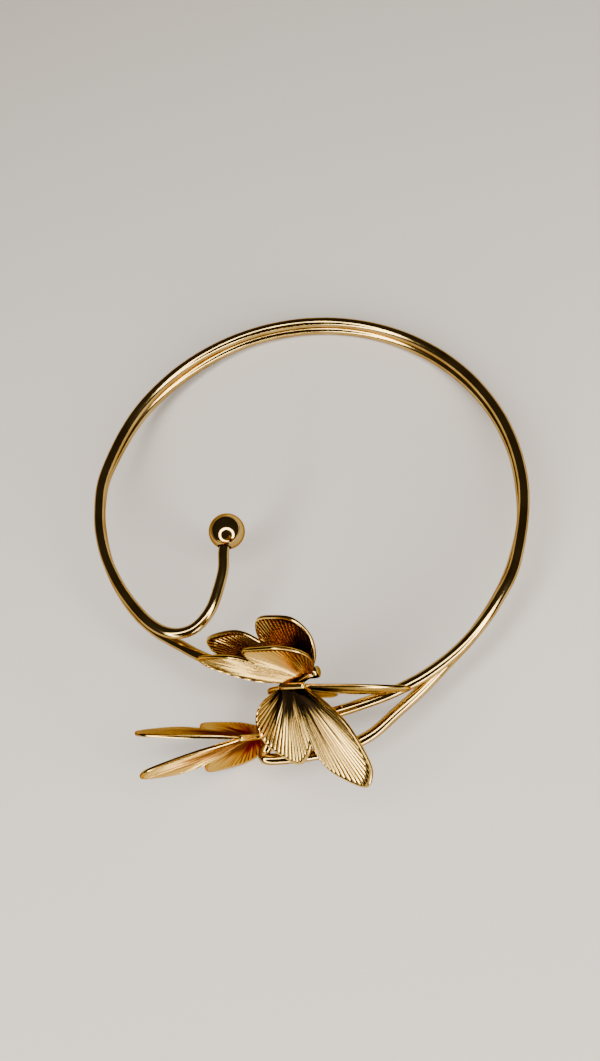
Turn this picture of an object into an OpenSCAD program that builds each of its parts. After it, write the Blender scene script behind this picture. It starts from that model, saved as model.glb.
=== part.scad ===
// Upper arm cuff: one wire bent double round the arm, a ball on its hooked end, three folded butterflies.
// Lengths are millimetres. The cuff lies on its side: +Z is up, and -Y is the side of the butterflies.

/* [Ring] */
// Radius of the ring to the middle of the wire
ring_r = 41.8; // [38:0.2:46]
// Diameter of the wire
wire_d = 2.1; // [1.6:0.1:2.4]
// Clear gap between the two strands where they run one above the other
strand_gap = 0.1; // [0.05:0.05:0.5]

/* [Ball] */
// Diameter of the ball on the hooked end
ball_d = 7; // [5:0.5:8]
// Clear gap between the wire and the hole in the ball
socket_gap = 0.08; // [0.05:0.01:0.15]
// Distance from the middle of the ball to the bottom of its hole, as a share of its radius
socket_reach = 0.2; // [0:0.05:0.4]

/* [Butterflies] */
// Reach of a forewing from the middle of the fold
wing_l = 20.4; // [16:0.2:21]
// Half the length of the fold
fold_half = 2.7; // [2.2:0.1:3]
// Diameter of the bead along the fold
fold_d = 1.1; // [0.9:0.1:1.4]
// Thickness of the stamped sheet
sheet_t = 0.4; // [0.3:0.05:0.5]
// Height of a rib above the middle of its own slope
rib_h = 0.13; // [0.05:0.01:0.2]
// Width of the plain rim
rim_w = 0.55; // [0.4:0.05:0.8]
// Thickness of the plain rim
rim_t = 0.62; // [0.5:0.02:0.8]
// Clear gap where a butterfly is soldered on
solder_gap = 0.15; // [0.1:0.05:0.3]

/* [Rest] */
// Lean of the ring towards its back, in degrees
lean_back = 7.6; // [4:0.1:14]
// Lean of the ring towards its right side, in degrees
lean_right = 2.3; // [-6:0.1:6]
// Distance of the ring's middle from the origin, to the right
ring_x = 0.15; // [-5:0.05:5]
// Distance of the ring's middle from the origin, to the back
ring_y = 6.8; // [0:0.05:12]
// Height of the ring's middle above the surface that it rests on
ring_z = 8.96; // [6:0.05:16]

/* [Hidden] */

gold = "#B08A45";
pale_gold = "#C9A860";

wire_sides = 12;
steps = 3;            // rings of the swept wire between two points of its route
ring_step = 21;       // degrees between two points of a strand
strand_pitch = wire_d + strand_gap;
ball_r = ball_d / 2;

// Points of the wire: degrees round the ring from its right side, share of ring_r, height in strand pitches
ball_at = [204.5, 0.393, 0.9];
hook = [
    [216, 0.457, 0.87],
    [223.5, 0.51, 0.82],
    [228.5, 0.588, 0.7],
    [231.5, 0.67, 0.6],
    [232, 0.75, 0.5],
    [230.5, 0.818, 0.41],
    [226.5, 0.876, 0.3],
    [220, 0.911, 0.16],
    [211, 0.931, 0.05],
    [201, 0.953, 0],
    [191, 0.975, 0],
    [180, 0.991, 0],
];
loop = [
    [-33, 1.004, -0.14],
    [-45.6, 1.004, -0.55],
    [-57.6, 1.001, -0.82],
    [-67.8, 0.998, -0.95],
    [-77, 1.001, -1.05],
    [-85.3, 1.018, -1.18],
    [-92.5, 1.059, -1.42],
    [-96.5, 1.082, -1.64],
    [-99.3, 1.098, -1.91],
    [-99.1, 1.137, -2.2],
    [-99.7, 1.174, -2.3],
    [-98.5, 1.196, -2.2],
    [-92.3, 1.179, -2.16],
    [-84.1, 1.16, -2.05],
    [-76.5, 1.13, -1.91],
    [-68.9, 1.072, -1.82],
    [-60.7, 1.03, -1.77],
    [-52.7, 1.002, -1.64],
    [-42.7, 0.993, -1.41],
    [-30.8, 0.99, -1.18],
    [-20, 0.991, -1.03],
];
tail = [
    [176, 1.008, -1],
    [186, 0.99, -1],
    [196, 0.972, -1.02],
    [206, 0.951, -1.05],
    [214, 0.934, -1.06],
    [220.5, 0.915, -1.04],
    [225.5, 0.897, -0.94],
    [230.5, 0.883, -0.72],
    [236, 0.877, -0.4],
    [242, 0.872, 0.02],
    [248, 0.867, 0.52],
    [253.8, 0.864, 1.07],
    [259, 0.867, 1.64],
    [264, 0.876, 2.28],
    [268.6, 0.891, 3.05],
    [273.3, 0.91, 4],
    [274.9, 0.914, 4.3],
];
// The two strands round the arm, in shares of ring_r against degrees
upper_strand = [[-22, 1.005], [0, 1.002], [60, 1.002], [165, 1]];
lower_strand = [[-8, 0.996], [115, 0.996], [130, 0.99], [145, 1], [165, 1.01]];

// The outline of one half wing pair: degrees from straight out towards the head, share of wing_l, ribs to the next row
outline_rows = [
    [90, 0.132, 2],
    [57, 0.548, 4],
    [44, 0.893, 3],
    [37, 0.998, 3],
    [30, 0.995, 5],
    [17, 0.808, 4],
    [9, 0.675, 2],
    [4, 0.51, 2],
    [-5, 0.625, 3],
    [-15, 0.71, 4],
    [-29, 0.712, 5],
    [-47, 0.72, 4],
    [-62, 0.622, 3],
    [-73, 0.423, 2],
    [-90, 0.132, 0],
];
notch_row = 7;

// Each butterfly: its turn, half the angle between its wings, how much that grows in one wing_l towards
// the head, its size
inner = [[114, 57, -179], 12.5, -10, 0.95];
middle = [[-109, -35, -11], 32, 4, 1.03];
outer = [[-115, -59, -151], 17, -7, 1];
// The way from the wire to the inner butterfly's fold
inner_way = [-0.6, -0.68, 0.42];
// The tail end of the outer butterfly's fold stands on the loop, this many degrees off the fold's own line
outer_stand = 32;
// Where the middle butterfly touches the inner one's near wings: shares of fold_half along the fold and out from it
perch = [0.7, 0.54];

function unit(v) = v / norm(v);
function flat(lists) = [for (l = lists) each l];
function place(row) =
    [ring_r * row[1] * cos(row[0]), ring_r * row[1] * sin(row[0]), strand_pitch * row[2]];

// A smooth curve through four points, at t from 0 at b to 1 at c
function curve(a, b, c, d, t) =
    0.5 * (2 * b + (c - a) * t + (2 * a - 5 * b + 4 * c - d) * t * t + (3 * b - a - 3 * c + d) * t * t * t);
function before(p) = 2 * p[0] - p[1];
function after(p) = 2 * p[len(p) - 1] - p[len(p) - 2];
function smooth(p, n) =
    let (q = concat([before(p)], p, [after(p)]))
    concat([for (i = [1:len(p) - 1], k = [0:n - 1]) curve(q[i - 1], q[i], q[i + 1], q[i + 2], k / n)],
           [p[len(p) - 1]]);

// The wire
function strand(from, to, shares, height) =
    let (n = ceil(abs(to - from) / ring_step))
    [for (i = [0:n]) let (a = from + (to - from) * i / n) place([a, lookup(a, shares), height])];
ball_c = place(ball_at);
ball_dir = unit(place(hook[0]) - ball_c);
socket_end = ball_r * socket_reach;
stem = [ball_c + ball_dir * (socket_end + 2 * socket_gap), ball_c + ball_dir * (ball_r * 0.75)];
route = flat([
    stem,
    [for (row = hook) place(row)],
    strand(167, -20, upper_strand, 0),
    [for (row = loop) place(row)],
    strand(-6, 165, lower_strand, -1),
    [for (row = tail) place(row)],
]);

module swept_tube(path, r, sides) {
    n = len(path);
    along = [for (i = [0:n - 1]) unit(path[min(i + 1, n - 1)] - path[max(i - 1, 0)])];
    points = flat([
        for (i = [0:n - 1])
            let (across = unit(cross([0, 0, 1], along[i])), up = cross(along[i], across))
            [for (k = [0:sides - 1])
                path[i] + r * (cos(360 * k / sides) * across + sin(360 * k / sides) * up)]
    ]);
    walls = [
        for (i = [0:n - 2], k = [0:sides - 1])
            let (a = i * sides + k, b = i * sides + (k + 1) % sides)
            each [[a, a + sides, b], [b, a + sides, b + sides]]
    ];
    first = [for (k = [0:sides - 1]) k];
    last = [for (k = [sides - 1:-1:0]) (n - 1) * sides + k];
    polyhedron(points, concat(walls, [first, last]));
}

module cuff_wire() {
    color(gold)
        lying()
            swept_tube(smooth(route, steps), wire_d / 2, wire_sides);
}

// The ball
module end_ball() {
    color(gold)
        lying()
            translate(ball_c)
                rotate([0, acos(ball_dir.z), atan2(ball_dir.y, ball_dir.x)])
                    difference() {
                        sphere(d = ball_d, $fn = 64);
                        translate([0, 0, socket_end])
                            cylinder(d = wire_d + 2 * socket_gap, h = ball_d, $fn = 32);
                    }
}

// One half of a butterfly: x towards the head, y out from the fold
function row_point(row) = wing_l * row[1] * [sin(row[0]), cos(row[0])];
function outline_part(first, last) =
    let (p = [for (i = [first:last]) row_point(outline_rows[i])], q = concat([before(p)], p, [after(p)]))
    [for (i = [first:last - 1], n = 2 * outline_rows[i][2], k = [0:n - 1])
        curve(q[i - first], q[i - first + 1], q[i - first + 2], q[i - first + 3], k / n)];
rows_last = len(outline_rows) - 1;
outline = concat(outline_part(0, notch_row), outline_part(notch_row, rows_last), [row_point(outline_rows[rows_last])]);
columns = len(outline) - 1;

rim_step = 0.12;      // width of the step from the ribs up to the rim
root_share = 0.75;    // share of the fold that the ribs fan out from
function root_at(j) = [fold_half * root_share * (1 - 2 * j / columns), 0];
// Rows across the wing: share of the way out, share of the rib's height, half thickness
function stations(reach) =
    let (inside = max(0.4, 1 - rim_w / reach), ribs_end = max(0.3, inside - rim_step / reach))
    [[0, 0, sheet_t / 2], [ribs_end, 1, sheet_t / 2], [inside, 0, rim_t / 2], [1, 0, rim_t / 2]];
station_count = 4;

// A point of the sheet: column j, row k, face +1 outside or -1 inside
function sheet_point(j, k, face, half_angle, spread) =
    let (
        root = root_at(j),
        edge = outline[j],
        reach = norm(edge - root),
        st = stations(reach)[k],
        level = root + (edge - root) * st[0],
        rib = (j % 2 == 0 ? -1 : 1) * rib_h * st[1] * min(1, reach / (6 * rim_w)),
        lift = rib + face * st[2],
        angle = half_angle + spread * level.x / wing_l
    )
    [level.x, level.y * cos(angle) - lift * sin(angle), level.y * sin(angle) + lift * cos(angle)];

module wing_half(half_angle, spread) {
    s = station_count;
    n = columns + 1;
    points = flat([
        for (face = [1, -1], j = [0:columns])
            [for (k = [0:s - 1]) sheet_point(j, k, face, half_angle, spread)]
    ]);
    function at(f, j, k) = f * n * s + j * s + k;
    skin = [
        for (j = [0:columns - 1], k = [0:s - 2])
            each [
                [at(0, j, k), at(0, j + 1, k), at(0, j, k + 1)],
                [at(0, j + 1, k), at(0, j + 1, k + 1), at(0, j, k + 1)],
                [at(1, j, k), at(1, j, k + 1), at(1, j + 1, k)],
                [at(1, j + 1, k), at(1, j, k + 1), at(1, j + 1, k + 1)],
            ]
    ];
    edges = [
        for (j = [0:columns - 1])
            each [
                [at(0, j, s - 1), at(0, j + 1, s - 1), at(1, j, s - 1)],
                [at(0, j + 1, s - 1), at(1, j + 1, s - 1), at(1, j, s - 1)],
                [at(0, j, 0), at(1, j, 0), at(0, j + 1, 0)],
                [at(0, j + 1, 0), at(1, j, 0), at(1, j + 1, 0)],
            ]
    ];
    ends = [
        for (k = [0:s - 2])
            each [
                [at(0, 0, k), at(0, 0, k + 1), at(1, 0, k)],
                [at(0, 0, k + 1), at(1, 0, k + 1), at(1, 0, k)],
                [at(0, columns, k), at(1, columns, k), at(0, columns, k + 1)],
                [at(0, columns, k + 1), at(1, columns, k), at(1, columns, k + 1)],
            ]
    ];
    polyhedron(points, concat(skin, edges, ends));
}

// Middles of the folds
function turned(v, a) =
    let (
        x = [v.x, v.y * cos(a.x) - v.z * sin(a.x), v.y * sin(a.x) + v.z * cos(a.x)],
        y = [x.x * cos(a.y) + x.z * sin(a.y), x.y, x.z * cos(a.y) - x.x * sin(a.y)]
    )
    [y.x * cos(a.z) - y.y * sin(a.z), y.x * sin(a.z) + y.y * cos(a.z), y.z];
function off_wire(point, way, size) = point + (wire_d / 2 + solder_gap + size * fold_d / 2) * unit(way);
inner_fold = off_wire(place(tail[len(tail) - 2]), inner_way, inner[3]);
outer_fold = place(loop[8])
    + (wire_d / 2 + solder_gap) * turned([cos(outer_stand), sin(outer_stand), 0], outer[0])
    + outer[3] * turned([fold_half + sheet_t / 2, fold_d / 2, 0], outer[0]);
near_angle = inner[1] + inner[2] * perch[0] * fold_half / wing_l;
near_side = turned([0, -sin(near_angle), -cos(near_angle)], inner[0]);
perch_tip = abs(turned([1, 0, 0], middle[0]) * near_side) * (fold_half + sheet_t / 2);
perch_off = inner[3] * (rim_t / 2 + rib_h) + solder_gap + middle[3] * (fold_d / 2 + perch_tip);
middle_fold = inner_fold + perch_off * near_side
    + inner[3] * fold_half * turned([perch[0], perch[1] * cos(near_angle), -perch[1] * sin(near_angle)], inner[0]);

module butterfly(kind, fold) {
    color(pale_gold)
        lying()
            translate(fold)
                rotate(kind[0])
                    scale(kind[3]) {
                        wing_half(kind[1], kind[2]);
                        mirror([0, 0, 1])
                            wing_half(kind[1], kind[2]);
                        rotate([0, 90, 0])
                            cylinder(d = fold_d, h = 2 * fold_half + sheet_t, center = true, $fn = 8);
                    }
}

module butterfly_inner() {
    butterfly(inner, inner_fold);
}

module butterfly_middle() {
    butterfly(middle, middle_fold);
}

module butterfly_outer() {
    butterfly(outer, outer_fold);
}

// From the ring's own frame to the way the cuff rests
module lying() {
    translate([ring_x, ring_y, ring_z])
        rotate([-lean_back, lean_right, 0])
            children();
}

cuff_wire();
end_ball();
butterfly_inner();
butterfly_middle();
butterfly_outer();
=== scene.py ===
"""Upper arm cuff: gold-plated wire, a polished ball and three ribbed butterflies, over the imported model."""
import bpy
import math
from mathutils import Matrix, Vector


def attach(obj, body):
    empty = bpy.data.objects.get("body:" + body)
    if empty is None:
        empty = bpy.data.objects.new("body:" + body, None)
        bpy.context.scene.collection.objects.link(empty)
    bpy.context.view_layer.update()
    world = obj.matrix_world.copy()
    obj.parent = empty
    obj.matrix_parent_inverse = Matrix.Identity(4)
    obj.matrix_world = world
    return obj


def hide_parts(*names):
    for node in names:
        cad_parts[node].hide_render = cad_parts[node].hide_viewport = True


bl_info = {
    "name": "Butterfly Arm Cuff",
    "version": (1, 0, 0),
    "blender": (4, 5, 0),
    "location": "View3D > Sidebar > Cuff",
    "description": "Builds the visible pieces of a wire arm cuff with folded butterflies",
    "category": "Object",
}

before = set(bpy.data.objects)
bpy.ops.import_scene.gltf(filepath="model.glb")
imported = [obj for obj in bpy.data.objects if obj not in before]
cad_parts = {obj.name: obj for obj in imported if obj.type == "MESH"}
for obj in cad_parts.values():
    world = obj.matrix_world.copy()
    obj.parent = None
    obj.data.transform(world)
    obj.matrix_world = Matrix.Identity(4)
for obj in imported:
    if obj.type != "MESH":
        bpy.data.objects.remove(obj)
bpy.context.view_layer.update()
MM = 0.001

# The way the ring rests: middle of the ring in millimetres, and its lean in degrees
RING_MIDDLE = Vector((0.15, 6.8, 8.96))
LEAN_BACK = 7.6
LEAN_RIGHT = 2.3
LYING = Matrix.Rotation(math.radians(LEAN_RIGHT), 3, "Y") @ Matrix.Rotation(math.radians(-LEAN_BACK), 3, "X")

# Points of the wire: degrees round the ring, share of the ring's radius, height in strand pitches
BALL_AT = (204.5, 0.393, 0.9)
HOOK = [
    (216, 0.457, 0.87), (223.5, 0.51, 0.82), (228.5, 0.588, 0.7), (231.5, 0.67, 0.6),
    (232, 0.75, 0.5), (230.5, 0.818, 0.41), (226.5, 0.876, 0.3), (220, 0.911, 0.16),
    (211, 0.931, 0.05), (201, 0.953, 0), (191, 0.975, 0), (180, 0.991, 0),
]
LOOP = [
    (-33, 1.004, -0.14), (-45.6, 1.004, -0.55), (-57.6, 1.001, -0.82), (-67.8, 0.998, -0.95),
    (-77, 1.001, -1.05), (-85.3, 1.018, -1.18), (-92.5, 1.059, -1.42), (-96.5, 1.082, -1.64),
    (-99.3, 1.098, -1.91), (-99.1, 1.137, -2.2), (-99.7, 1.174, -2.3), (-98.5, 1.196, -2.2),
    (-92.3, 1.179, -2.16), (-84.1, 1.16, -2.05), (-76.5, 1.13, -1.91), (-68.9, 1.072, -1.82),
    (-60.7, 1.03, -1.77), (-52.7, 1.002, -1.64), (-42.7, 0.993, -1.41), (-30.8, 0.99, -1.18),
    (-20, 0.991, -1.03),
]
TAIL = [
    (176, 1.008, -1), (186, 0.99, -1), (196, 0.972, -1.02), (206, 0.951, -1.05),
    (214, 0.934, -1.06), (220.5, 0.915, -1.04), (225.5, 0.897, -0.94), (230.5, 0.883, -0.72),
    (236, 0.877, -0.4), (242, 0.872, 0.02), (248, 0.867, 0.52), (253.8, 0.864, 1.07),
    (259, 0.867, 1.64), (264, 0.876, 2.28), (268.6, 0.891, 3.05), (273.3, 0.91, 4),
    (274.9, 0.914, 4.3),
]
# The two strands round the arm, in shares of the radius against degrees
UPPER_STRAND = [(-22, 1.005), (0, 1.002), (60, 1.002), (165, 1)]
LOWER_STRAND = [(-8, 0.996), (115, 0.996), (130, 0.99), (145, 1), (165, 1.01)]
# Most degrees between two points of a strand
RING_STEP = 21

# The outline of one half wing pair: degrees from straight out towards the head, share of the wing's reach,
# ribs to the next row
OUTLINE = [
    (90, 0.132, 2), (57, 0.548, 4), (44, 0.893, 3), (37, 0.998, 3), (30, 0.995, 5),
    (17, 0.808, 4), (9, 0.675, 2), (4, 0.51, 2), (-5, 0.625, 3), (-15, 0.71, 4),
    (-29, 0.712, 5), (-47, 0.72, 4), (-62, 0.622, 3), (-73, 0.423, 2), (-90, 0.132, 0),
]
NOTCH_ROW = 7
# Share of the fold that the ribs fan out from, and the width in millimetres of the step up to the rim
ROOT_SHARE = 0.75
RIM_STEP = 0.12
# Each butterfly: node, turn, half the angle between its wings, how much that grows towards the head, size
INNER = ("butterfly_inner", (114, 57, -179), 12.5, -10, 0.95)
MIDDLE = ("butterfly_middle", (-109, -35, -11), 32, 4, 1.03)
OUTER = ("butterfly_outer", (-115, -59, -151), 17, -7, 1.0)
# The way from the wire to the inner butterfly's fold
INNER_WAY = Vector((-0.6, -0.68, 0.42))
# The tail end of the outer butterfly's fold stands on the loop, this many degrees off the fold's own line
OUTER_STAND = 32
# Where the middle butterfly touches the inner one's near wings: along the fold and out from it, in shares of
# half the fold
PERCH = (0.7, 0.54)
# How much painted shade each butterfly's wings get: the orange-brown shade half way to the fold, and the dark
# brown shade at the fold
PAINTED_SHADE_AMOUNTS = {
    "butterfly_inner": (0.35, 0.12),
    "butterfly_middle": (0.1, 1),
    "butterfly_outer": (0.9, 0.75),
}
# The ball's hole: gap round the wire in millimetres, and the distance from the ball's middle to the hole's
# bottom as a share of the radius
SOCKET_GAP = 0.08
SOCKET_REACH = 0.2
# The end of the wire's straight stretch in the hole, as a share of the ball's radius
STEM_REACH = 0.75

# The camera: its place in the ring's own frame in millimetres, its turn in degrees about X and Y against that
# frame, and its focal length and half the picture's height in pixels
CAMERA_AT = (24.1, -95.0, 185.8)
CAMERA_TURN = (-25.25, -7.7)
FOCAL_PIXELS = 1077.3
HALF_HEIGHT = 530.5
SENSOR_HEIGHT = 24.0

# The ring lamp: the point it shines at in the ring's own frame in millimetres, the number of discs, their
# diameter and distance in metres, the half angle of their circle as seen from that point, its tilt from the
# camera's line, both in degrees, and the lowest height of a disc in metres
LAMP_AIM = (0, -10, 0)
LAMPS = 28
LAMP_SIZE = 0.085
LAMP_DISTANCE = 0.36
LAMP_REACH = 42
LAMP_TILT = 24
LOWEST_LAMP = 0.03


class CuffSizes(bpy.types.PropertyGroup):
    """Sizes of the cuff, in millimetres"""
    ring_radius: bpy.props.FloatProperty(
        name="Ring radius", description="Radius to the middle of the wire, in millimetres",
        default=41.8, min=30.0)
    wire_diameter: bpy.props.FloatProperty(
        name="Wire diameter", description="Diameter of the round wire, in millimetres",
        default=2.1, min=1.0)
    strand_gap: bpy.props.FloatProperty(
        name="Strand gap", description="Gap between the two strands, in millimetres", default=0.1, min=0.0)
    ball_diameter: bpy.props.FloatProperty(
        name="Ball diameter", description="Diameter of the end ball, in millimetres", default=7.0, min=3.0)
    wing_reach: bpy.props.FloatProperty(
        name="Wing reach", description="Reach of a forewing from the fold, in millimetres",
        default=20.4, min=10.0)
    fold_half: bpy.props.FloatProperty(
        name="Half fold", description="Half the length of a butterfly's fold, in millimetres",
        default=2.7, min=1.0)
    fold_diameter: bpy.props.FloatProperty(
        name="Fold bead", description="Diameter of the bead along the fold, in millimetres",
        default=1.1, min=0.5)
    sheet: bpy.props.FloatProperty(
        name="Sheet", description="Thickness of the stamped sheet, in millimetres", default=0.4, min=0.2)
    rib: bpy.props.FloatProperty(
        name="Rib height", description="Height of a rib above its own slope's middle, in millimetres",
        default=0.13, min=0.0)
    rim_width: bpy.props.FloatProperty(
        name="Rim width", description="Width of the plain rim, in millimetres", default=0.55, min=0.2)
    rim_thickness: bpy.props.FloatProperty(
        name="Rim thickness", description="Thickness of the plain rim, in millimetres", default=0.62, min=0.3)
    solder_gap: bpy.props.FloatProperty(
        name="Solder gap", description="Gap where a butterfly is soldered on, in millimetres",
        default=0.15, min=0.0)


def linear(code):
    """The linear colour of an sRGB hex value"""
    parts = [int(code[i:i + 2], 16) / 255 for i in (1, 3, 5)]
    return [c / 12.92 if c <= 0.04045 else ((c + 0.055) / 1.055) ** 2.4 for c in parts] + [1.0]


class CuffColours(bpy.types.PropertyGroup):
    """Colours of the cuff and its stage"""
    plate: bpy.props.FloatVectorProperty(
        name="Gold plate", description="Polished plate on the wire and the ball", subtype="COLOR", size=4,
        min=0.0, max=1.0, default=linear("#CDB06E"))
    plate_deep: bpy.props.FloatVectorProperty(
        name="Deep plate", description="Warmer patches of the plate", subtype="COLOR", size=4,
        min=0.0, max=1.0, default=linear("#A5864A"))
    sheet: bpy.props.FloatVectorProperty(
        name="Stamped sheet", description="Tops of the ribs and the rim", subtype="COLOR", size=4,
        min=0.0, max=1.0, default=linear("#DCB866"))
    # Painted shade in the grooves between the ribs and on the outermost edge of the rim
    painted_groove_shade: bpy.props.FloatVectorProperty(
        name="Grooves", description="Grooves between the ribs", subtype="COLOR", size=4,
        min=0.0, max=1.0, default=linear("#5E3C12"))
    # Painted shade: orange-brown, half way out from the fold
    warm: bpy.props.FloatVectorProperty(
        name="Warm film", description="Orange-brown film half way to the fold", subtype="COLOR", size=4,
        min=0.0, max=1.0, default=linear("#A0611C"))
    # Painted shade: dark brown over the wing roots along the fold
    root: bpy.props.FloatVectorProperty(
        name="Wing roots", description="Dark brown film at the fold", subtype="COLOR", size=4,
        min=0.0, max=1.0, default=linear("#120B05"))
    grazing: bpy.props.FloatVectorProperty(
        name="Grazing tint", description="Tint of what the gold mirrors at a grazing angle",
        subtype="COLOR", size=4, min=0.0, max=1.0, default=linear("#A9783C"))
    floor: bpy.props.FloatVectorProperty(
        name="Floor", description="Plain pale floor", subtype="COLOR", size=4,
        min=0.0, max=1.0, default=linear("#CBC5BD"))


class CuffStage(bpy.types.PropertyGroup):
    """Lights of the stage"""
    lamp_power: bpy.props.FloatProperty(
        name="Ring lamp", description="Power of the whole ring lamp",
        default=5.2, min=0.0, subtype="POWER", unit="POWER")
    room: bpy.props.FloatProperty(
        name="Room", description="Strength of the dim room light", default=0.07, min=0.0)


# Geometry shared by the pieces, in millimetres in the ring's own frame

def sizes():
    """The sizes set in the panel"""
    return bpy.context.scene.cuff_sizes


def place(row):
    """The point of a row of a route table"""
    s = sizes()
    pitch = s.wire_diameter + s.strand_gap
    angle = math.radians(row[0])
    reach = s.ring_radius * row[1]
    return Vector((reach * math.cos(angle), reach * math.sin(angle), pitch * row[2]))


def rest(point):
    """A point of the ring's own frame as the cuff lies, in metres"""
    return (LYING @ Vector(point) + RING_MIDDLE) * MM


def between(table, x):
    """The value of a two-column table at x"""
    if x <= table[0][0]:
        return table[0][1]
    for (a, va), (b, vb) in zip(table, table[1:]):
        if x <= b:
            return va + (vb - va) * (x - a) / (b - a)
    return table[-1][1]


def curve_point(a, b, c, d, t):
    """A point of the smooth curve through four points, from b at t = 0 to c at t = 1"""
    square = 2 * a - 5 * b + 4 * c - d
    cube = 3 * b - a - 3 * c + d
    return 0.5 * (2 * b + (c - a) * t + square * t * t + cube * t * t * t)


def smooth_line(points, steps):
    """A smooth line through the points"""
    q = [2 * points[0] - points[1]] + points + [2 * points[-1] - points[-2]]
    line = []
    for i in range(1, len(points)):
        for k in range(steps):
            line.append(curve_point(q[i - 1], q[i], q[i + 1], q[i + 2], k / steps))
    return line + [points[-1]]


def strand(start, end, shares, height):
    """Points of one strand from start to end in degrees, at a height in strand pitches"""
    count = math.ceil(abs(end - start) / RING_STEP)
    angles = [start + (end - start) * i / count for i in range(count + 1)]
    return [place((a, between(shares, a), height)) for a in angles]


def ball_axis():
    """The ball's middle, and the way the wire leaves it"""
    middle = place(BALL_AT)
    return middle, (place(HOOK[0]) - middle).normalized()


def wire_route():
    """Points along the wire: out of the ball, hook, upper strand, loop, lower strand, free end"""
    s = sizes()
    middle, way = ball_axis()
    r = s.ball_diameter / 2
    stem = [middle + way * (r * SOCKET_REACH + 2 * SOCKET_GAP), middle + way * (r * STEM_REACH)]
    return (stem + [place(row) for row in HOOK] + strand(167, -20, UPPER_STRAND, 0)
            + [place(row) for row in LOOP] + strand(-6, 165, LOWER_STRAND, -1) + [place(row) for row in TAIL])


def turn_matrix(turn):
    """The turn of a butterfly, in degrees about X, then Y, then Z"""
    a, b, c = [math.radians(v) for v in turn]
    return Matrix.Rotation(c, 3, "Z") @ Matrix.Rotation(b, 3, "Y") @ Matrix.Rotation(a, 3, "X")


def folds():
    """The middle of each butterfly's fold"""
    s = sizes()

    def off_wire(point, way, size):
        return point + (s.wire_diameter / 2 + s.solder_gap + size * s.fold_diameter / 2) * way.normalized()

    inner = off_wire(place(TAIL[-2]), INNER_WAY, INNER[4])
    stand = math.radians(OUTER_STAND)
    clear = (s.wire_diameter / 2 + s.solder_gap) * Vector((math.cos(stand), math.sin(stand), 0))
    end = Vector((s.fold_half + s.sheet / 2, s.fold_diameter / 2, 0))
    outer = place(LOOP[8]) + turn_matrix(OUTER[1]) @ (clear + OUTER[4] * end)
    near = math.radians(INNER[2] + INNER[3] * PERCH[0] * s.fold_half / s.wing_reach)
    turn = turn_matrix(INNER[1])
    side = turn @ Vector((0, -math.sin(near), -math.cos(near)))
    tip = abs((turn_matrix(MIDDLE[1]) @ Vector((1, 0, 0))).dot(side)) * (s.fold_half + s.sheet / 2)
    off = INNER[4] * (s.rim_thickness / 2 + s.rib) + s.solder_gap + MIDDLE[4] * (s.fold_diameter / 2 + tip)
    along = turn @ Vector((PERCH[0], PERCH[1] * math.cos(near), -PERCH[1] * math.sin(near)))
    middle = inner + off * side + INNER[4] * s.fold_half * along
    return {INNER[0]: inner, MIDDLE[0]: middle, OUTER[0]: outer}


# Tools shared by the operators

def only(obj):
    """Leaves obj alone selected and active"""
    bpy.ops.object.select_all(action="DESELECT")
    obj.select_set(True)
    bpy.context.view_layer.objects.active = obj


def settle(obj, material):
    """Puts a finished piece's place into its mesh, points its faces outwards and gives it its material"""
    only(obj)
    bpy.ops.object.transform_apply(location=True, rotation=True, scale=True)
    bpy.ops.object.mode_set(mode="EDIT")
    bpy.ops.mesh.select_all(action="SELECT")
    bpy.ops.mesh.remove_doubles(threshold=0.000002)
    bpy.ops.mesh.normals_make_consistent(inside=False)
    bpy.ops.object.mode_set(mode="OBJECT")
    bpy.ops.object.shade_smooth()
    obj.data.materials.clear()
    obj.data.materials.append(material)


def add_node(tree, kind, settings=None, **links):
    """Adds a node with its settings and its linked or constant sockets"""
    node = tree.nodes.new(kind)
    for name, value in (settings or {}).items():
        setattr(node, name, value)
    for name, value in links.items():
        socket = node.inputs[name.replace("_", " ")]
        if isinstance(value, bpy.types.NodeSocket):
            tree.links.new(value, socket)
        else:
            socket.default_value = value
    return node


def new_material(name):
    """An empty material with one shader, its node tree and that shader"""
    material = bpy.data.materials.new(name)
    material.use_nodes = True
    tree = material.node_tree
    tree.nodes.clear()
    shader = tree.nodes.new("ShaderNodeBsdfPrincipled")
    out = tree.nodes.new("ShaderNodeOutputMaterial")
    tree.links.new(shader.outputs["BSDF"], out.inputs["Surface"])
    return material, tree, shader


def polished_gold_plate(name, roughness):
    """Electroplated brass, polished before plating: mirror-like, with faint wipe marks and warmer patches"""
    colours = bpy.context.scene.cuff_colours
    material, tree, shader = new_material(name)
    where = add_node(tree, "ShaderNodeTexCoord").outputs["Object"]
    # Patches of plate about 5 mm across
    patches = add_node(tree, "ShaderNodeTexNoise", Vector=where, Scale=200.0, Detail=3.0)
    tone = add_node(tree, "ShaderNodeMapRange", Value=patches.outputs["Fac"], From_Min=0.38, From_Max=0.72)
    mix = add_node(tree, "ShaderNodeMix", {"data_type": "RGBA"}, Factor=tone.outputs["Result"])
    mix.inputs["A"].default_value = colours.plate
    mix.inputs["B"].default_value = colours.plate_deep
    tree.links.new(mix.outputs["Result"], shader.inputs["Base Color"])
    # Wipe marks about 0.4 mm across
    marks = add_node(tree, "ShaderNodeTexNoise", Vector=where, Scale=2600.0, Detail=4.0)
    rough = add_node(tree, "ShaderNodeMapRange", Value=marks.outputs["Fac"],
                     To_Min=roughness, To_Max=roughness + 0.06)
    tree.links.new(rough.outputs["Result"], shader.inputs["Roughness"])
    bump = add_node(tree, "ShaderNodeBump", Height=marks.outputs["Fac"], Strength=0.05, Distance=0.00002)
    tree.links.new(bump.outputs["Normal"], shader.inputs["Normal"])
    shader.inputs["Metallic"].default_value = 1.0
    shader.inputs["Specular Tint"].default_value = colours.grazing
    return material


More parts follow.
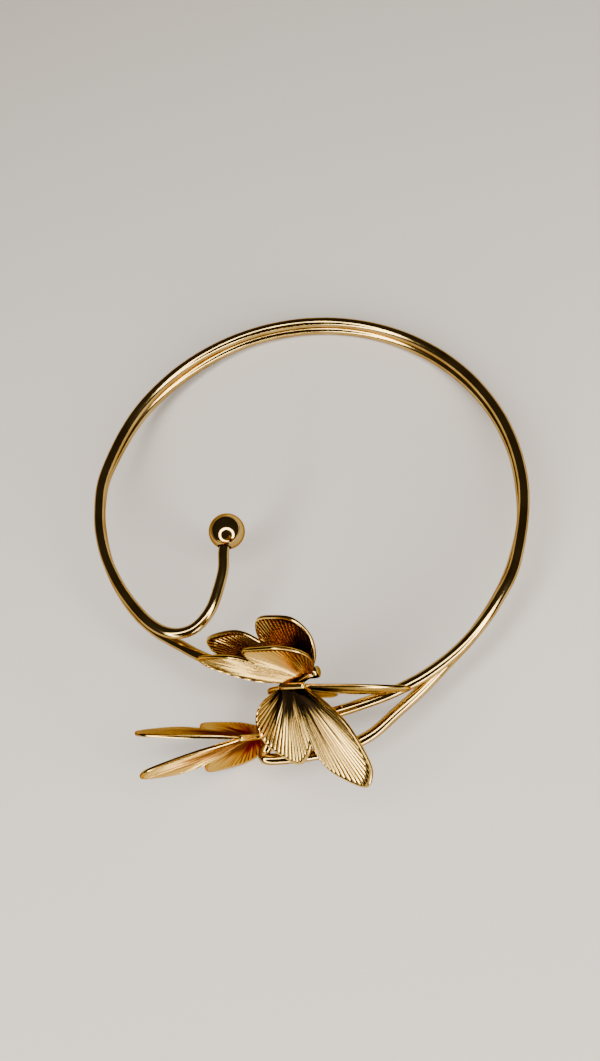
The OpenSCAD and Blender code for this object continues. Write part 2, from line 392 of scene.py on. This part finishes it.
def stamped_gold_sheet(name):
    """Thin brass stamped between dies and plated: bright ribs, grooves in painted brown shade, and painted
    shade near the fold, orange-brown further out and dark brown at the fold
    """
    colours = bpy.context.scene.cuff_colours
    material, tree, shader = new_material(name)
    where = add_node(tree, "ShaderNodeTexCoord").outputs["Object"]
    rib = add_node(tree, "ShaderNodeAttribute", {"attribute_name": "rib"})
    wing = add_node(tree, "ShaderNodeAttribute", {"attribute_name": "wing"})
    # Patches of plate about 4 mm across
    patches = add_node(tree, "ShaderNodeTexNoise", Vector=where, Scale=260.0, Detail=3.0)
    spread = add_node(tree, "ShaderNodeMath", {"operation": "MULTIPLY_ADD"})
    tree.links.new(patches.outputs["Fac"], spread.inputs[0])
    spread.inputs[1].default_value = 0.3
    tree.links.new(rib.outputs["Fac"], spread.inputs[2])
    tone = add_node(tree, "ShaderNodeMapRange", Value=spread.outputs["Value"], From_Min=0.3, From_Max=0.75)
    # The grooves get painted brown shade, the rib tops the sheet's own colour
    mix = add_node(tree, "ShaderNodeMix", {"data_type": "RGBA"}, Factor=tone.outputs["Result"])
    mix.inputs["A"].default_value = colours.painted_groove_shade
    mix.inputs["B"].default_value = colours.sheet
    # Streaks of the painted shade, one or two ribs wide, run out from the fold
    turned = add_node(tree, "ShaderNodeMapping", Vector=wing.outputs["Vector"], Scale=(0.8, 1.5, 1.0))
    streaks = add_node(tree, "ShaderNodeTexNoise", Vector=turned.outputs["Vector"], Scale=1.0, Detail=2.0)
    parts = add_node(tree, "ShaderNodeSeparateXYZ", Vector=wing.outputs["Vector"])
    reach = add_node(tree, "ShaderNodeMath", {"operation": "MULTIPLY_ADD"})
    tree.links.new(streaks.outputs["Fac"], reach.inputs[0])
    reach.inputs[1].default_value = -1.1
    tree.links.new(parts.outputs["Y"], reach.inputs[2])
    kind = add_node(tree, "ShaderNodeAttribute", {"attribute_name": "painted_shade_layer"})
    shares = add_node(tree, "ShaderNodeSeparateXYZ", Vector=kind.outputs["Vector"])

    def painted_shade_layer(under, colour, share, full, none):
        """Painted shade in one colour over what is under it, full to none on the way out"""
        fade = add_node(tree, "ShaderNodeMapRange", {"interpolation_type": "SMOOTHSTEP"},
                        Value=reach.outputs["Value"], From_Min=full, From_Max=none, To_Min=1.0, To_Max=0.0)
        amount = add_node(tree, "ShaderNodeMath", {"operation": "MULTIPLY"})
        tree.links.new(fade.outputs["Result"], amount.inputs[0])
        tree.links.new(share, amount.inputs[1])
        over = add_node(tree, "ShaderNodeMix", {"data_type": "RGBA"}, Factor=amount.outputs["Value"])
        tree.links.new(under.outputs["Result"], over.inputs["A"])
        over.inputs["B"].default_value = colour
        return over

    # Painted orange-brown shade half way out, then painted dark brown shade at the fold, in each butterfly's
    # own amounts
    warm = painted_shade_layer(mix, colours.warm, shares.outputs["X"], -0.2, 0.4)
    dark = painted_shade_layer(warm, colours.root, shares.outputs["Y"], -0.26, 0.14)
    tree.links.new(dark.outputs["Result"], shader.inputs["Base Color"])
    # Grain of the die about 0.15 mm across
    grain = add_node(tree, "ShaderNodeTexNoise", Vector=where, Scale=6500.0, Detail=2.0)
    rough = add_node(tree, "ShaderNodeMapRange", Value=grain.outputs["Fac"], To_Min=0.1, To_Max=0.19)
    tree.links.new(rough.outputs["Result"], shader.inputs["Roughness"])
    bump = add_node(tree, "ShaderNodeBump", Height=grain.outputs["Fac"], Strength=0.1, Distance=0.00003)
    tree.links.new(bump.outputs["Normal"], shader.inputs["Normal"])
    shader.inputs["Metallic"].default_value = 1.0
    shader.inputs["Specular Tint"].default_value = colours.grazing
    return material


# One operator for each piece or group of like pieces

class CUFF_OT_wire(bpy.types.Operator):
    """Draws the one bent wire: hook, two strands, loop and free end"""
    bl_idname = "cuff.wire"
    bl_label = "Bent wire"

    def execute(self, context):
        s = sizes()
        bpy.ops.object.select_all(action="DESELECT")
        bpy.ops.curve.primitive_nurbs_path_add(location=(0, 0, 0))
        obj = context.active_object
        obj.name = "bent_wire"
        data = obj.data
        data.splines.clear()
        line = smooth_line(wire_route(), 8)
        spline = data.splines.new("POLY")
        spline.points.add(len(line) - 1)
        for point, p in zip(spline.points, line):
            point.co = (*rest(p), 1.0)
        data.dimensions = "3D"
        data.bevel_depth = s.wire_diameter / 2 * MM
        data.bevel_resolution = 8
        data.use_fill_caps = True
        only(obj)
        bpy.ops.object.convert(target="MESH")
        settle(obj, polished_gold_plate("gold_plated_brass_wire", 0.07))
        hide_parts("cuff_wire")
        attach(obj, "root")
        return {"FINISHED"}


class CUFF_OT_ball(bpy.types.Operator):
    """Turns the polished ball and drills it for the wire"""
    bl_idname = "cuff.ball"
    bl_label = "End ball"

    def execute(self, context):
        s = sizes()
        middle, way = ball_axis()
        r = s.ball_diameter / 2 * MM
        hole = (s.wire_diameter / 2 + SOCKET_GAP) * MM
        bpy.ops.object.select_all(action="DESELECT")
        bpy.ops.mesh.primitive_uv_sphere_add(segments=96, ring_count=64, radius=r, location=(0, 0, 0))
        obj = context.active_object
        obj.name = "polished_ball"
        mouth = math.sqrt(r * r - hole * hole)
        bpy.ops.object.mode_set(mode="EDIT")
        bpy.ops.mesh.select_all(action="SELECT")
        # The default threshold of 0.1 mm takes in rings beside the cut, which the extrude then pushes in: the
        # hole comes out 0.2 mm wider on each side than SOCKET_GAP says and has a second wall inside the wire
        bpy.ops.mesh.bisect(plane_co=(0, 0, mouth), plane_no=(0, 0, 1), clear_outer=True, use_fill=False)
        depth = mouth - SOCKET_REACH * r
        bpy.ops.mesh.extrude_region_move(TRANSFORM_OT_translate={"value": (0, 0, -depth)})
        bpy.ops.mesh.edge_face_add()
        bpy.ops.object.mode_set(mode="OBJECT")
        turn = (LYING @ way).to_track_quat("Z", "Y").to_matrix().to_4x4()
        obj.matrix_world = Matrix.Translation(rest(middle)) @ turn
        settle(obj, polished_gold_plate("gold_plated_brass_ball", 0.045))
        only(obj)
        bpy.ops.object.shade_smooth_by_angle(angle=math.radians(40))
        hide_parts("end_ball")
        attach(obj, "root")
        return {"FINISHED"}


class CUFF_OT_butterflies(bpy.types.Operator):
    """Stamps the three ribbed butterflies, folds them and sets them on the wire"""
    bl_idname = "cuff.butterflies"
    bl_label = "Butterflies"

    samples = 2          # columns of the mesh for each half rib
    face_rows = 20       # rows of the mesh on each face

    def outline(self):
        """Points round one half wing pair, 2 * samples for each rib"""
        s = sizes()

        def row_point(row):
            a = math.radians(row[0])
            return Vector((math.sin(a), math.cos(a), 0)) * s.wing_reach * row[1]

        points = []
        for first, last in ((0, NOTCH_ROW), (NOTCH_ROW, len(OUTLINE) - 1)):
            p = [row_point(row) for row in OUTLINE[first:last + 1]]
            q = [2 * p[0] - p[1]] + p + [2 * p[-1] - p[-2]]
            for i in range(first, last):
                n = 2 * self.samples * OUTLINE[i][2]
                for k in range(n):
                    a, b, c, d = q[i - first:i - first + 4]
                    points.append(curve_point(a, b, c, d, k / n))
        return points + [row_point(OUTLINE[-1])]

    def profile(self, k, reach):
        """Share of the way out, share of the rib's height and half thickness at row k of one face"""
        s = sizes()
        inside = max(0.4, 1 - s.rim_width / reach)
        ribs_end = max(0.3, inside - RIM_STEP / reach)
        # The ribs end in a step, and the rim outside it has a rounded cross-section
        rim_rows = 6
        ribs_rows = self.face_rows - rim_rows
        if k <= ribs_rows:
            t = (k / ribs_rows) ** 0.85
            return ribs_end * t, min(1.0, 2.2 * t), s.sheet / 2
        x = (k - ribs_rows) / rim_rows
        if k == self.face_rows:
            return 1.0, 0.0, s.rim_thickness * 0.18
        across = (k - ribs_rows - 1) / (rim_rows - 1)
        bow = math.sqrt(max(0.0, 1 - (1.6 * across - 0.6) ** 4))
        return inside + (1 - inside) * across, max(0.0, 0.25 - x), s.rim_thickness / 2 * (0.45 + 0.55 * bow)

    def half(self, context, butterfly, fold, mirrored):
        """One half of a butterfly: a grid laid over both faces of its wings, folded up along their roots"""
        s = sizes()
        node, turn, half_angle, spread, size = butterfly
        edge = self.outline()
        columns = len(edge) - 1
        rows = 2 * self.face_rows
        bpy.ops.object.select_all(action="DESELECT")
        bpy.ops.mesh.primitive_grid_add(
            x_subdivisions=columns, y_subdivisions=rows, size=2, location=(0, 0, 0))
        obj = context.active_object
        mesh = obj.data
        mesh.attributes.new("rib", "FLOAT", "POINT")
        mesh.attributes.new("wing", "FLOAT_VECTOR", "POINT")
        mesh.attributes.new("painted_shade_layer", "FLOAT_VECTOR", "POINT")
        marks = mesh.attributes["rib"].data
        spots = mesh.attributes["wing"].data
        painted_shade_amounts = mesh.attributes["painted_shade_layer"].data
        matrix = turn_matrix(turn)
        for i, v in enumerate(mesh.vertices):
            j = round((v.co.x + 1) / 2 * columns)
            row = round((v.co.y + 1) / 2 * rows)
            face = 1 if row <= self.face_rows else -1
            k = row if face == 1 else rows - row
            root = Vector((s.fold_half * ROOT_SHARE * (1 - 2 * j / columns), 0, 0))
            reach = (edge[j] - root).length
            out, rise, thick = self.profile(k, reach)
            level = root + (edge[j] - root) * out
            wave = 2 * abs(math.sin(math.pi * j / (2 * self.samples))) - 1
            rib = wave * s.rib * rise * min(1.0, reach / (6 * s.rim_width))
            if k == 0 or j in (0, columns):
                thick = 0.0
            lift = rib + face * thick
            angle = math.radians(half_angle + spread * level.x / s.wing_reach)
            p = Vector((level.x, level.y * math.cos(angle) - lift * math.sin(angle),
                        level.y * math.sin(angle) + lift * math.cos(angle)))
            if mirrored:
                p.z = -p.z
            # Tone from grooves at 0, in painted shade, to rib tops at 1, plain at the fold and on the rim,
            # and painted dark shade on the outermost edge
            marks[i].value = 0.5 + 0.5 * face * wave if rise > 0.3 else 0.8
            # The outermost edge of the rim gets painted dark shade
            if k == self.face_rows:
                marks[i].value = 0.1
            # Number of the rib, share of the way out, and one number for the whole butterfly, which makes
            # the streaks differ from one butterfly to the next
            spots[i].vector = (j / (2 * self.samples) + (40 if mirrored else 0), out, fold.x)
            painted_shade_amounts[i].vector = (*PAINTED_SHADE_AMOUNTS[node], 0)
            v.co = rest(fold + matrix @ (p * size))
        return obj

    def execute(self, context):
        s = sizes()
        sheet = stamped_gold_sheet("gold_plated_stamped_brass")
        for butterfly in (INNER, MIDDLE, OUTER):
            node, turn, size = butterfly[0], butterfly[1], butterfly[4]
            fold = folds()[node]
            halves = [self.half(context, butterfly, fold, flip) for flip in (False, True)]
            bpy.ops.object.select_all(action="DESELECT")
            bpy.ops.mesh.primitive_cylinder_add(
                vertices=24, radius=s.fold_diameter / 2 * size * MM,
                depth=(2 * s.fold_half + s.sheet) * size * MM, location=(0, 0, 0))
            bead = context.active_object
            bevel = bead.modifiers.new("round_ends", "BEVEL")
            bevel.width = 0.3 * size * MM
            bevel.segments = 4
            only(bead)
            bpy.ops.object.modifier_apply(modifier="round_ends")
            along = (LYING @ turn_matrix(turn) @ Vector((1, 0, 0))).to_track_quat("Z", "Y")
            bead.matrix_world = Matrix.Translation(rest(fold)) @ along.to_matrix().to_4x4()
            only(bead)
            bpy.ops.object.transform_apply(location=True, rotation=True, scale=True)
            for value in bead.data.attributes.new("rib", "FLOAT", "POINT").data:
                value.value = 0.7
            for value in bead.data.attributes.new("wing", "FLOAT_VECTOR", "POINT").data:
                value.vector = (0, 1, 0)
            bead.data.attributes.new("painted_shade_layer", "FLOAT_VECTOR", "POINT")
            only(halves[0])
            halves[1].select_set(True)
            bead.select_set(True)
            bpy.ops.object.join()
            obj = context.active_object
            obj.name = node.replace("butterfly", "stamped_butterfly")
            settle(obj, sheet)
            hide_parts(node)
            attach(obj, "root")
        return {"FINISHED"}


class CUFF_OT_stage(bpy.types.Operator):
    """Lays the plain floor, sets the camera and hangs the ring lamp"""
    bl_idname = "cuff.stage"
    bl_label = "Stage"

    def execute(self, context):
        colours = context.scene.cuff_colours
        stage = context.scene.cuff_stage
        eye = rest(CAMERA_AT)
        about_x, about_y = [math.radians(v) for v in CAMERA_TURN]
        look = Matrix.Rotation(about_x, 3, "X") @ Matrix.Rotation(about_y, 3, "Y")
        turn = LYING @ look.transposed()
        bpy.ops.object.select_all(action="DESELECT")
        bpy.ops.object.camera_add(location=eye)
        camera = context.active_object
        camera.name = "camera"
        camera.matrix_world = Matrix.Translation(eye) @ turn.to_4x4()
        camera.data.sensor_fit = "VERTICAL"
        camera.data.sensor_height = SENSOR_HEIGHT
        camera.data.lens = SENSOR_HEIGHT / 2 * FOCAL_PIXELS / HALF_HEIGHT
        camera.data.clip_start = 0.01
        context.scene.camera = camera

        bpy.ops.mesh.primitive_plane_add(size=4.0, location=(0, 0, 0))
        floor = context.active_object
        floor.name = "floor"
        material, tree, shader = new_material("matt_painted_board")
        shader.inputs["Base Color"].default_value = colours.floor
        shader.inputs["Roughness"].default_value = 0.9
        shader.inputs["Specular IOR Level"].default_value = 0.2
        floor.data.materials.append(material)

        # The ring lamp: discs on a circle round a line that leans from the camera's towards the butterflies
        middle = rest(LAMP_AIM)
        to_eye = (eye - middle).normalized()
        down = turn @ Vector((0, -1, 0))
        tilt = math.radians(LAMP_TILT)
        axis = (to_eye * math.cos(tilt) + down * math.sin(tilt)).normalized()
        first = axis.cross(Vector((1, 0, 0))).normalized()
        second = axis.cross(first)
        reach = math.radians(LAMP_REACH)
        for i in range(LAMPS):
            a = 2 * math.pi * i / LAMPS
            way = axis * math.cos(reach) + (first * math.cos(a) + second * math.sin(a)) * math.sin(reach)
            spot = middle + way * LAMP_DISTANCE
            if spot.z < LOWEST_LAMP:
                continue
            bpy.ops.object.light_add(type="AREA", location=spot)
            lamp = context.active_object
            lamp.name = "ring_lamp_%02d" % i
            lamp.data.shape = "DISK"
            lamp.data.size = LAMP_SIZE
            lamp.data.energy = stage.lamp_power / LAMPS
            lamp.data.color = (1.0, 0.965, 0.91)
            lamp.rotation_euler = (middle - spot).to_track_quat("-Z", "Y").to_euler()
            lamp.visible_camera = False

        world = bpy.data.worlds.new("dim_room")
        world.use_nodes = True
        back = world.node_tree.nodes["Background"]
        back.inputs["Color"].default_value = linear("#C9B7A4")
        back.inputs["Strength"].default_value = stage.room
        context.scene.world = world
        return {"FINISHED"}


class CUFF_PT_panel(bpy.types.Panel):
    """Lists the steps of the cuff"""
    bl_idname = "CUFF_PT_panel"
    bl_label = "Arm cuff"
    bl_space_type = "VIEW_3D"
    bl_region_type = "UI"
    bl_category = "Cuff"

    def draw(self, context):
        layout = self.layout
        for operator in OPERATORS:
            layout.operator(operator.bl_idname)
        for group in (context.scene.cuff_sizes, context.scene.cuff_colours, context.scene.cuff_stage):
            box = layout.box()
            for name in group.bl_rna.properties.keys():
                if name not in ("rna_type", "name"):
                    box.prop(group, name)


OPERATORS = (CUFF_OT_stage, CUFF_OT_wire, CUFF_OT_ball, CUFF_OT_butterflies)
CLASSES = (CuffSizes, CuffColours, CuffStage) + OPERATORS + (CUFF_PT_panel,)


def register():
    for cls in CLASSES:
        bpy.utils.register_class(cls)
    bpy.types.Scene.cuff_sizes = bpy.props.PointerProperty(type=CuffSizes)
    bpy.types.Scene.cuff_colours = bpy.props.PointerProperty(type=CuffColours)
    bpy.types.Scene.cuff_stage = bpy.props.PointerProperty(type=CuffStage)


def unregister():
    del bpy.types.Scene.cuff_stage
    del bpy.types.Scene.cuff_colours
    del bpy.types.Scene.cuff_sizes
    for cls in reversed(CLASSES):
        bpy.utils.unregister_class(cls)


def main():
    register()
    bpy.ops.cuff.stage()
    bpy.ops.cuff.wire()
    bpy.ops.cuff.ball()
    bpy.ops.cuff.butterflies()


if __name__ == "__main__":
    main()
